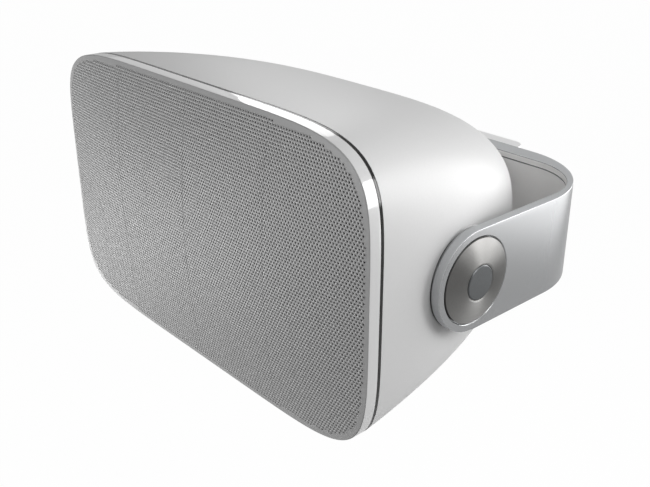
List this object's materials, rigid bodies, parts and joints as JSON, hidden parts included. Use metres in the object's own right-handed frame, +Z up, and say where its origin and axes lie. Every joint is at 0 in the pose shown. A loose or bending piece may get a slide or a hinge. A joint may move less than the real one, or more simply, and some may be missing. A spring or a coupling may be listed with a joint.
{
  "type": "outdoor patio speaker",
  "caption": "Weatherproof two-way outdoor speaker in a rounded cabinet with a perforated grille, carried between the arms of a tilting U bracket on a wall plate.",
  "frame": {"origin": "centre of the wall plate's back face, in the plane of the wall", "axes": "+X along the cabinet's long side, +Y into the wall, +Z up; the grille faces -Y"},
  "size_m": [0.3058, 0.2077, 0.1726],
  "materials": {
    "cabinet_paint": "smooth satin light grey moulding",
    "bracket_paint": "satin light grey powder coat",
    "grille_paint": "satin light grey coat on perforated steel",
    "grille_cloth": "thin open dust cloth",
    "black_rubber": "matt black rubber",
    "black_plastic": "fine moulded black plastic",
    "spun_aluminium": "circular brushed aluminium",
    "spacer_metal": "machined and painted light grey",
    "bright_steel": "plated steel",
    "dark_steel": "black coated steel",
    "ferrite": "sintered ferrite",
    "insert_brass": "turned brass",
    "cone_polymer": "matt dark polymer cone",
    "spider_cloth": "resin treated woven cloth",
    "coil_copper": "enamelled copper winding",
    "dome_titanium": "thin satin titanium",
    "board_green": "glass fibre board with green resist",
    "capacitor_film": "wrapped film capacitor",
    "resistor_ceramic": "cement coated ceramic",
    "damping_felt": "loose grey polyester felt"
  },
  "bodies": {
    "mount": {"wall_plate": "bracket_paint", "bracket_strap": "bracket_paint", "strap_bolts": "bright_steel", "pivot_cap_left": "spun_aluminium", "pivot_plug_left": "spun_aluminium", "pivot_bolt_left": "bright_steel", "pivot_spacer_left": "spacer_metal", "pivot_cap_right": "spun_aluminium", "pivot_plug_right": "spun_aluminium", "pivot_bolt_right": "bright_steel", "pivot_spacer_right": "spacer_metal"},
    "cabinet": {"cabinet_shell": "cabinet_paint", "front_baffle": "black_plastic", "baffle_screws": "bright_steel", "grille_magnets": "ferrite", "baffle_gasket": "black_rubber", "grille": "grille_paint", "grille_cloth": "grille_cloth", "woofer_basket": "dark_steel", "woofer_top_plate": "dark_steel", "woofer_magnet": "ferrite", "woofer_pole_piece": "dark_steel", "woofer_surround": "black_rubber", "woofer_spider": "spider_cloth", "woofer_screws": "bright_steel", "tweeter_faceplate": "black_plastic", "tweeter_top_plate": "dark_steel", "tweeter_magnet": "ferrite", "tweeter_yoke": "dark_steel", "tweeter_cup": "black_plastic", "tweeter_screws": "bright_steel", "terminal_cover": "cabinet_paint", "cover_seal": "black_rubber", "cover_screws": "bright_steel", "cable_gland": "black_plastic", "terminal_block": "black_plastic", "terminal_screws": "bright_steel", "crossover_board": "board_green", "board_screws": "bright_steel", "crossover_coils": "coil_copper", "crossover_capacitors": "capacitor_film", "crossover_resistor": "resistor_ceramic", "damping_pad_left": "damping_felt", "damping_pad_right": "damping_felt", "pivot_insert_left": "insert_brass", "pivot_insert_right": "insert_brass", "friction_washer_left": "black_rubber", "friction_washer_right": "black_rubber"},
    "woofer_cone": {"woofer_cone": "cone_polymer", "woofer_dust_cap": "cone_polymer", "woofer_voice_coil": "coil_copper"},
    "tweeter_dome": {"tweeter_dome": "dome_titanium", "tweeter_voice_coil": "coil_copper"}
  },
  "joints": [
    {"name": "cabinet_tilt", "type": "hinge", "parent": "mount", "child": "cabinet", "pos_m": [0, -0.1283, 0], "axis": [1, 0, 0], "range_deg": [-90, 90]},
    {"name": "woofer_travel", "type": "slide", "parent": "cabinet", "child": "woofer_cone", "axis": [0, 1, 0], "range_m": [-0.004, 0.004], "stiffness_N_per_m": 1800, "deforming": ["woofer_surround", "woofer_spider"]},
    {"name": "tweeter_travel", "type": "slide", "parent": "cabinet", "child": "tweeter_dome", "axis": [0, 1, 0], "range_m": [-0.0003, 0.0003], "stiffness_N_per_m": 2000}
  ]
}
